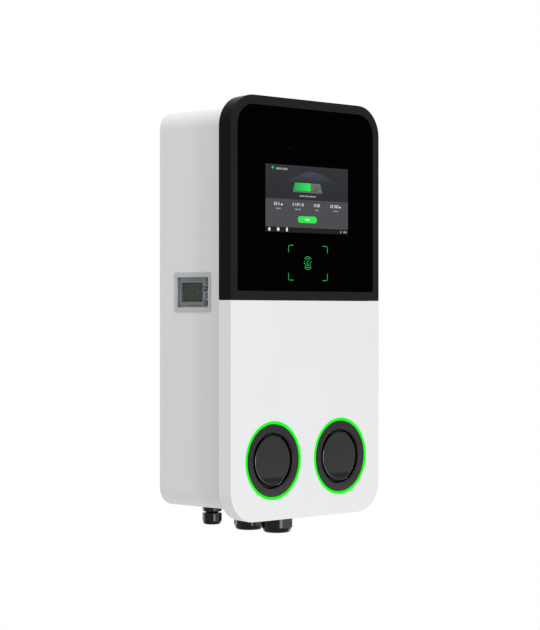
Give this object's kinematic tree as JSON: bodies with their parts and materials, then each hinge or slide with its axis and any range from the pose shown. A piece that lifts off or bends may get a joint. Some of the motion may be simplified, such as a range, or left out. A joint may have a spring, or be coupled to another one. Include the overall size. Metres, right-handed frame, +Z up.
{
  "type": "wall-mounted vehicle charger",
  "caption": "Tall rounded wall box with black glass screen above, white panel below, hinged round socket lids in lit rings, a side meter window and cable glands underneath.",
  "frame": {"origin": "middle of the four wall bolts, on the wall plane", "axes": "+X to the right as seen from the front, +Y into the wall, +Z up"},
  "size_m": [0.318, 0.1737, 0.6472],
  "materials": {
    "housing_white": "fine matte white",
    "panel_white": "smooth white",
    "bezel_black": "satin black",
    "glass_black": "black printed glass",
    "light_green": "lit green",
    "socket_dark": "fine matte dark grey",
    "socket_black": "matte black",
    "steel": "bright steel",
    "steel_black": "black oxide",
    "sheet_zinc": "zinc-plated sheet",
    "contact_brass": "silvered brass",
    "rubber_black": "matte rubber",
    "board_green": "solder mask",
    "display_grey": "display",
    "meter_grey": "matte grey",
    "key_dark": "matte black",
    "frame_grey": "matte light grey",
    "meter_clear": "clear",
    "lcd_green": "reflective display",
    "gland_black": "satin black",
    "lead_orange": "lead sheath"
  },
  "bodies": {
    "charger": {"wall_bracket": "sheet_zinc", "hanger_rail": "sheet_zinc", "rear_housing": "housing_white", "cover_gasket": "rubber_black", "front_frame": "gland_black", "upper_bezel": "bezel_black", "glass_panel": "glass_black", "display_module": "display_grey", "display_tray": "sheet_zinc", "display_board": "board_green", "card_reader": "board_green", "lower_panel": "panel_white", "meter_frame": "frame_grey", "meter_window": "meter_clear", "energy_meter": "meter_grey", "meter_lcd": "lcd_green", "meter_rail": "sheet_zinc", "meter_bracket": "sheet_zinc", "mounting_plate": "sheet_zinc", "power_board": "board_green", "power_relays": "socket_black", "control_board": "board_green", "supply_terminals": "frame_grey", "power_gland_bodies": "gland_black", "power_gland_nuts": "gland_black", "data_gland_body": "gland_black", "data_gland_nut": "gland_black", "gland_seals": "rubber_black", "gland_locknuts": "gland_black", "socket_leads": "lead_orange", "cover_screws": "steel", "inner_screws": "steel", "led_ring_left": "light_green", "led_board_left": "board_green", "socket_bezel_left": "socket_dark", "socket_shell_left": "socket_black", "contact_carrier_left": "socket_black", "socket_contacts_left": "contact_brass", "lock_actuator_left": "socket_black", "lid_spring_left": "steel_black", "hinge_pin_left": "steel_black", "led_ring_right": "light_green", "led_board_right": "board_green", "socket_bezel_right": "socket_dark", "socket_shell_right": "socket_black", "contact_carrier_right": "socket_black", "socket_contacts_right": "contact_brass", "lock_actuator_right": "socket_black", "lid_spring_right": "steel_black", "hinge_pin_right": "steel_black"},
    "lid_left": {"socket_lid_left": "socket_dark", "lid_seal_left": "rubber_black"},
    "lid_right": {"socket_lid_right": "socket_dark", "lid_seal_right": "rubber_black"},
    "bolt_left": {"lock_bolt_left": "steel"},
    "bolt_right": {"lock_bolt_right": "steel"},
    "key_1": {"meter_key_1": "key_dark"},
    "key_2": {"meter_key_2": "key_dark"},
    "key_3": {"meter_key_3": "key_dark"},
    "key_4": {"meter_key_4": "key_dark"}
  },
  "joints": [
    {"name": "lid_left_hinge", "type": "hinge", "parent": "charger", "child": "lid_left", "pos_m": [-0.0717, -0.1652, -0.188], "axis": [-1, 0, 0], "range_deg": [0, 95], "stiffness_Nm_per_rad": 0.06, "springref_deg": -28.65, "deforming": ["lid_spring_left"]},
    {"name": "lid_right_hinge", "type": "hinge", "parent": "charger", "child": "lid_right", "pos_m": [0.0717, -0.1652, -0.188], "axis": [-1, 0, 0], "range_deg": [0, 95], "stiffness_Nm_per_rad": 0.06, "springref_deg": -28.65, "deforming": ["lid_spring_right"]},
    {"name": "bolt_left_slide", "type": "slide", "parent": "charger", "child": "bolt_left", "axis": [0, 0, -1], "range_m": [0, 0.005]},
    {"name": "bolt_right_slide", "type": "slide", "parent": "charger", "child": "bolt_right", "axis": [0, 0, -1], "range_m": [0, 0.005]},
    {"name": "key_1_press", "type": "slide", "parent": "charger", "child": "key_1", "axis": [1, 0, 0], "range_m": [0, 0.0008], "stiffness_N_per_m": 400, "springref_m": -0.0006},
    {"name": "key_2_press", "type": "slide", "parent": "charger", "child": "key_2", "axis": [1, 0, 0], "range_m": [0, 0.0008], "stiffness_N_per_m": 400, "springref_m": -0.0006},
    {"name": "key_3_press", "type": "slide", "parent": "charger", "child": "key_3", "axis": [1, 0, 0], "range_m": [0, 0.0008], "stiffness_N_per_m": 400, "springref_m": -0.0006},
    {"name": "key_4_press", "type": "slide", "parent": "charger", "child": "key_4", "axis": [1, 0, 0], "range_m": [0, 0.0008], "stiffness_N_per_m": 400, "springref_m": -0.0006}
  ]
}
